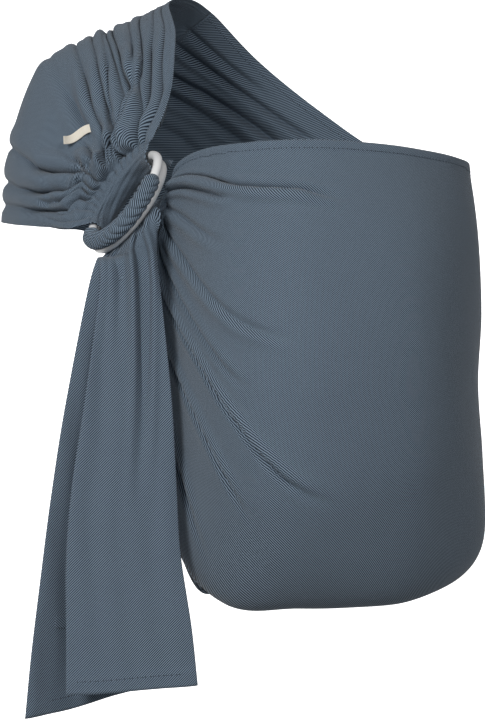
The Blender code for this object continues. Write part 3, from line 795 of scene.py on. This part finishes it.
# Shares of a stitch's half length at its six-sided rings, and the faces of its ends
STITCH_SPOTS = (-1.0, -0.8, -0.35, 0.35, 0.8, 1.0)
STITCH_SIDES = 6
STITCH_LIDS = ((0, 1, 2, 3), (0, 3, 4, 5), (33, 32, 31, 30), (35, 34, 33, 30))
# How far ahead a stitch's direction is read, m
STITCH_AHEAD = 0.0005
# How far inside the hem's fold its stitches run, mm
STITCH_INSET = 0.6
TAIL_STITCH_INSET = 0.8
# Share of the pouch's length that its rails' stitches cover, short of the rings
POUCH_STITCHED = 0.78


def read_along(path, length, places):
    """The rows of a path, read at places along its running length."""
    return np.stack([np.interp(places, length, column) for column in path.T], axis=1)


def stitch_object(name, points, normals, sizes):
    """A row of short rounded stitches: one small capsule repeated along a path.

    Each capsule has rings of radius r sqrt(1 - s^2) at shares s of its half
    length, laid along the path's direction, a stitch pitch apart.
    """
    length = arc_lengths(points[:, None, :], 0)[:, 0]
    pitch = sizes.stitch_length + sizes.stitch_gap
    places = np.arange(pitch, length[-1] - pitch, pitch)
    where = read_along(points, length, places)
    run = unit(read_along(points, length, places + STITCH_AHEAD) - where)
    up = unit(read_along(normals, length, places))
    side = np.cross(up, run)
    spots = np.array(STITCH_SPOTS)
    size = sizes.stitch_width / 2 * np.sqrt(np.maximum(1 - spots ** 2, 0.02))
    angle = np.linspace(0, 2 * math.pi, STITCH_SIDES, endpoint=False)
    sag = 0.12 * MM * (1 - spots ** 2)
    local_run = np.repeat(spots * sizes.stitch_length / 2, STITCH_SIDES)
    local_side = (size[:, None] * np.cos(angle)).ravel()
    local_up = (size[:, None] * np.sin(angle) * 0.7 + sag[:, None]).ravel()
    points_all = (where[:, None, :] + local_run[None, :, None] * run[:, None, :]
                  + local_side[None, :, None] * side[:, None, :]
                  + local_up[None, :, None] * up[:, None, :])
    body = grid_faces(len(spots), STITCH_SIDES, wrap_columns=True)
    faces = np.vstack([body, STITCH_LIDS])
    starts = np.arange(len(places)) * len(spots) * STITCH_SIDES
    every = (faces[None] + starts[:, None, None]).reshape(-1, 4)
    return mesh_object(name, points_all.reshape(-1, 3), every[:, ::-1], finish("thread"))


def hem_line(name, edge, lift):
    """Points of a named piece a hem's width in from one rail, and their normals."""
    grid, _, side = cloth_part(name)
    normal, _ = grid_frame(grid)
    reach = side if edge == 0 else side[:, -1:] - side
    near = np.abs(reach - (HEM_MM - STITCH_INSET) * MM).argmin(axis=1)
    rows = np.arange(len(grid))
    facing = normal[rows, near] * math.copysign(1.0, lift)
    return grid[rows, near] + facing * abs(lift), facing


# ---- properties

def size_property(name, description, metres):
    """A length that a user may change."""
    return bpy.props.FloatProperty(name=name, description=description, default=metres,
                                   unit="LENGTH")


def colour_property(name, description, hex_colour):
    """A colour that a user may change."""
    return bpy.props.FloatVectorProperty(name=name, description=description,
                                         default=linear(hex_colour), subtype="COLOR")


class SlingSizes(bpy.types.PropertyGroup):
    """Sizes and colours of the sling."""
    cloth_thickness: size_property("Cloth thickness", "Thickness of one layer of twill", 0.0009)
    twill_pitch: size_property("Twill pitch", "Spacing of the diagonal ribs", 0.0015)
    yarn_pitch: size_property("Yarn pitch", "Spacing of single yarns", 0.0007)
    stitch_length: size_property("Stitch length", "Length of a visible stitch", 0.0026)
    stitch_gap: size_property("Stitch gap", "Space between stitches", 0.0009)
    stitch_width: size_property("Stitch width", "Width of the thread", 0.0007)
    roll_radius: size_property("Roll radius", "Radius of the cloth rolled on the ring", 0.0068)
    warp_colour: colour_property("Warp colour", "Darker yarn", "141f2c")
    weft_colour: colour_property("Weft colour", "Paler yarn", "788999")
    thread_colour: colour_property("Thread colour", "Sewing thread", "465361")
    ring_colour: colour_property("Ring colour", "Anodised ring", "f0f0f0")
    label_colour: colour_property("Label colour", "Undyed ribbon", "efe9dc")


def cloth_piece(name, body, node_names):
    """One piece of the long cloth, replacing its CAD solids."""
    sizes = bpy.context.scene.sling_sizes
    grid, run, side = cloth_part(name)
    uv = np.stack([run, side], axis=-1)
    piece = sheet_object(name, grid, uv, finish("twill"), sizes.cloth_thickness)
    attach(piece, body)
    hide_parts(*node_names)


def ring_object(name, ring, node_name, body):
    """A torus: a circle of the bar's radius turned about the ring's normal."""
    turn = np.linspace(0, 2 * math.pi, 180, endpoint=False)
    spoke = spoke_at(ring, turn)
    line = ring["centre"] + ring["radius"] * spoke
    normal = np.repeat(ring["normal"][None, :], len(turn), axis=0)
    radii = np.full((len(turn), 36), ring["bar"])
    piece = tube_object(name, line, -spoke, normal, radii, finish("ring"), closed=True)
    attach(piece, body)
    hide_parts(node_name)


class SLING_OT_shoulder(bpy.types.Operator):
    """Build the pleated cloth over the shoulder and round the rings' bars"""
    bl_idname = "sling.shoulder"
    bl_label = "Shoulder cloth"

    def execute(self, context):
        cloth_piece("shoulder_cloth", "root", ("shoulder_cap", "shoulder_loop"))
        return {"FINISHED"}


class SLING_OT_back(bpy.types.Operator):
    """Build the cloth across the wearer's back"""
    bl_idname = "sling.back"
    bl_label = "Back cloth"

    def execute(self, context):
        cloth_piece("back_cloth", "root", ("back_panel",))
        return {"FINISHED"}


class SLING_OT_pouch(bpy.types.Operator):
    """Build the pouch across the front, drawn up behind the rings"""
    bl_idname = "sling.pouch"
    bl_label = "Pouch cloth"

    def execute(self, context):
        cloth_piece("pouch_cloth", "root", ("front_pouch",))
        return {"FINISHED"}


class SLING_OT_tail(bpy.types.Operator):
    """Build the tail: one sheet folded back and forth from the rings to its hem"""
    bl_idname = "sling.tail"
    bl_label = "Tail"

    def execute(self, context):
        sizes = context.scene.sling_sizes
        grid = tail_grid()
        uv = np.stack([arc_lengths(grid, 0)[:, :1] + 0 * grid[..., 0], grid[..., 0]], axis=-1)
        piece = sheet_object("tail_cloth", grid, uv, finish("twill"), sizes.cloth_thickness * 0.8)
        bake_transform(piece)
        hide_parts("tail_head", "tail_front_fold", "tail_back_fold")
        return {"FINISHED"}


class SLING_OT_rings(bpy.types.Operator):
    """Build the two rings of the buckle"""
    bl_idname = "sling.rings"
    bl_label = "Rings"

    def execute(self, context):
        ring_object("inner_ring_satin", INNER, "inner_ring", "inner_ring")
        ring_object("outer_ring_satin", OUTER, "outer_ring", "outer_ring")
        return {"FINISHED"}


# First and last angle of the roll on the outer ring, degrees
ROLL_ANGLES = (51, 206)


class SLING_OT_roll(bpy.types.Operator):
    """Build the cloth rolled over the outer ring's front bar"""
    bl_idname = "sling.roll"
    bl_label = "Cloth roll"

    def execute(self, context):
        sizes = context.scene.sling_sizes
        degrees = np.linspace(*ROLL_ANGLES, 210)
        turn = np.radians(degrees)
        spoke = spoke_at(OUTER, turn)
        line = OUTER["centre"] + OUTER["radius"] * spoke
        normal = np.repeat(OUTER["normal"][None, :], len(turn), axis=0)
        around = np.linspace(0, 2 * math.pi, 72, endpoint=False)
        run = OUTER["radius"] * turn / MM
        phase = (run[:, None] / 7.4 + 0.9 * np.sin(around[None, :] + 0.6)
                 + 0.25 * np.sin(run[:, None] / 9.0))
        pleat = np.abs(np.sin(math.pi * phase)) ** 0.7 - 0.55
        swell = 0.55 * np.sin(run[:, None] / 14.0 + around[None, :])
        ends = bump_between(degrees, 58, 200, 8)[:, None]
        slim = OUTER["bar"] + 0.0009
        radii = slim + ends * (sizes.roll_radius - slim + (1.7 * pleat + swell) * MM)
        uv = np.stack(np.broadcast_arrays(run[:, None] * MM, sizes.roll_radius * around[None, :]),
                      axis=-1)
        piece = tube_object("ring_roll_cloth", line, -spoke, normal, radii, finish("twill"), uv)
        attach(piece, "outer_ring")
        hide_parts("ring_roll")
        return {"FINISHED"}


class SLING_OT_stitching(bpy.types.Operator):
    """Sew the hems of the rails and of the tail's end"""
    bl_idname = "sling.stitching"
    bl_label = "Stitching"

    def execute(self, context):
        sizes = context.scene.sling_sizes
        lift = sizes.cloth_thickness / 2 + sizes.stitch_width * 0.15
        rows = (("upper_rail_stitches", "pouch_cloth", 0, "upper_rail_stitching"),
                ("lower_rail_stitches", "pouch_cloth", 1, "lower_rail_stitching"),
                ("back_rail_stitches", "back_cloth", 0, "back_rail_stitching"))
        for name, cloth, edge, node_name in rows:
            outer, outer_up = hem_line(cloth, edge, lift)
            inner, inner_up = hem_line(cloth, edge, -lift)
            count = int(len(outer) * (POUCH_STITCHED if cloth == "pouch_cloth" else 1))
            piece = stitch_object(name, outer[:count], outer_up[:count], sizes)
            other = stitch_object(name + "_inside", inner[:count], inner_up[:count], sizes)
            for made in (piece, other):
                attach(made, "root")
            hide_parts(node_name)
        grid = tail_grid()
        up = arc_lengths(grid[::-1], 0)[::-1]
        near = np.abs(up - (TAIL_HEM_MM - TAIL_STITCH_INSET) * MM).argmin(axis=0)
        columns = np.arange(grid.shape[1])
        line = grid[near, columns]
        normal = grid_frame(grid)[0][near, columns]
        normal = normal * np.sign(-normal[:, 1:2])
        for name, part in (("tail_hem_stitches", FRONT_STITCHES),
                           ("tail_back_hem_stitches", BACK_STITCHES)):
            piece = stitch_object(name, line[part] + normal[part] * lift, normal[part], sizes)
            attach(piece, "tail")
            if part is FRONT_STITCHES:
                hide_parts("tail_hem_stitching")
        return {"FINISHED"}


LABEL_HALF_LENGTH = 12.5
LABEL_WIDTH = 6.8
RIBBON_THICKNESS = 0.0005
PATCH_THICKNESS = 0.0004
# The cloth within this of the patch's middle sets its slope, m
PATCH_REACH = 0.008


class SLING_OT_labels(bpy.types.Operator):
    """Sew on the two blank labels"""
    bl_idname = "sling.labels"
    bl_label = "Labels"

    def execute(self, context):
        low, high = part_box("maker_label")
        centre = (np.array(low) + np.array(high)) / 2
        t = np.linspace(-1, 1, 61)
        w = np.linspace(-0.5, 0.5, 13)
        run = LABEL_HALF_LENGTH * t
        rise = 5.2 * t + 1.5 * np.sin(math.pi * t)
        deep = -1.0 * np.sin(math.pi * t) - 2.5 * t ** 2 + 2.5 * t
        line = np.stack([run, deep, rise], axis=1) * MM
        head = unit(np.gradient(line, axis=0))
        side = unit(np.cross(head, np.array([0.0, -1.0, 0.0])))
        grid = centre + line[:, None, :] + w[None, :, None] * LABEL_WIDTH * MM * side[:, None, :]
        uv = np.stack([arc_lengths(grid, 0), arc_lengths(grid, 1)], axis=-1)
        label = sheet_object("maker_label_ribbon", grid, uv, finish("ribbon"), RIBBON_THICKNESS)
        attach(label, "root")
        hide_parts("maker_label")
        low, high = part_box("care_label")
        x = np.linspace(low.x, high.x, 15)
        z = np.linspace(high.z, low.z, 11)
        px, pz = np.meshgrid(x, z, indexing="ij")
        back = tail_grid()[:, BACK_LAYER]
        near = back[np.hypot(back[..., 0] - px.mean(), back[..., 2] - pz.mean()) < PATCH_REACH]
        lean = np.linalg.lstsq(np.c_[near[:, 0], near[:, 2], np.ones(len(near))], near[:, 1],
                               rcond=None)[0]
        py = lean[0] * px + lean[1] * pz + lean[2] - 1.1 * MM
        grid = np.stack([px, py, pz], axis=-1)
        uv = np.stack([px - low.x, pz - low.z], axis=-1)
        care = sheet_object("care_label_ribbon", grid, uv, finish("twill"), PATCH_THICKNESS)
        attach(care, "tail")
        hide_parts("care_label")
        return {"FINISHED"}


def area_light(name, location, target, power, size):
    """A square area light aimed at a target, in watts and metres."""
    data = bpy.data.lights.new(name, "AREA")
    data.energy = power
    data.shape = "RECTANGLE"
    data.size = data.size_y = size
    new = bpy.data.objects.new(name, data)
    bpy.context.scene.collection.objects.link(new)
    new.location = location
    new.rotation_euler = (Vector(target) - Vector(location)).to_track_quat("-Z", "Y").to_euler()
    return new


# Name, place, target, watts and width of each light
LIGHTS = (
    ("key", (-1.1, -2.8, 0.75), (0.08, -0.1, -0.25), 60, 0.9),
    ("fill", (1.0, -3.0, 0.9), (0.15, 0.0, -0.1), 19, 0.8),
)
SKY_STRENGTH = 0.27
CAMERA_PLACE = (0.1058, -4.0, -0.272)
CAMERA_LENS = 235.3
# The cove stands behind the object: metres below it, and its own sizes
COVE_GAP = 0.2
COVE_BEND = 0.6
COVE_FRONT = 0.5
COVE_BACK = 3.2
COVE_TOP = 1.2
COVE_HALF_WIDTH = 1.5


class SLING_OT_stage(bpy.types.Operator):
    """Set up the pale cove, the soft lights and the camera"""
    bl_idname = "sling.stage"
    bl_label = "Stage"

    def execute(self, context):
        scene = context.scene
        floor = CAD_BOX[0][2] - COVE_GAP
        bend = COVE_BEND
        turn = np.linspace(0, math.pi / 2, 24)
        y = np.concatenate([[COVE_FRONT], COVE_BACK - bend + bend * np.sin(turn), [COVE_BACK]])
        z = np.concatenate([[floor], floor + bend - bend * np.cos(turn), [COVE_TOP]])
        x = np.array([-COVE_HALF_WIDTH, COVE_HALF_WIDTH])
        grid = np.stack(np.broadcast_arrays(x[None, :], y[:, None], z[:, None]), axis=-1)
        cove = mesh_object("studio_cove", grid.reshape(-1, 3), grid_faces(len(y), 2)[:, ::-1],
                           stage_material())
        for light in LIGHTS:
            area_light(*light)
        world = bpy.data.worlds.new("soft_daylight")
        world.use_nodes = True
        sky = world.node_tree.nodes["Background"]
        sky.inputs["Color"].default_value = (1.0, 1.0, 1.0, 1.0)
        sky.inputs["Strength"].default_value = SKY_STRENGTH
        scene.world = world
        scene.view_settings.view_transform = "Standard"
        lens = bpy.data.cameras.new("camera")
        lens.lens = CAMERA_LENS
        lens.clip_end = 50.0
        camera = bpy.data.objects.new("camera", lens)
        scene.collection.objects.link(camera)
        camera.location = CAMERA_PLACE
        camera.rotation_euler = (math.pi / 2, 0.0, 0.0)
        scene.camera = camera
        return {"FINISHED"}


class SLING_PT_panel(bpy.types.Panel):
    """Lists the sling's pieces"""
    bl_idname = "SLING_PT_panel"
    bl_label = "Ring sling"
    bl_space_type = "VIEW_3D"
    bl_region_type = "UI"
    bl_category = "Sling"

    def draw(self, context):
        for prop in SlingSizes.__annotations__:
            self.layout.prop(context.scene.sling_sizes, prop)
        for operator in OPERATORS:
            self.layout.operator(operator.bl_idname)


OPERATORS = (SLING_OT_stage, SLING_OT_shoulder, SLING_OT_back, SLING_OT_pouch, SLING_OT_tail,
             SLING_OT_rings, SLING_OT_roll, SLING_OT_stitching, SLING_OT_labels)
CLASSES = (SlingSizes, *OPERATORS, SLING_PT_panel)


def register():
    """Register the classes and hang the sizes on the scene."""
    for item in CLASSES:
        bpy.utils.register_class(item)
    bpy.types.Scene.sling_sizes = bpy.props.PointerProperty(type=SlingSizes)


def unregister():
    """Undo what register did."""
    del bpy.types.Scene.sling_sizes
    for item in reversed(CLASSES):
        bpy.utils.unregister_class(item)


def main():
    register()
    for operator in OPERATORS:
        group, name = operator.bl_idname.split(".")
        getattr(getattr(bpy.ops, group), name)()


if __name__ == "__main__":
    main()
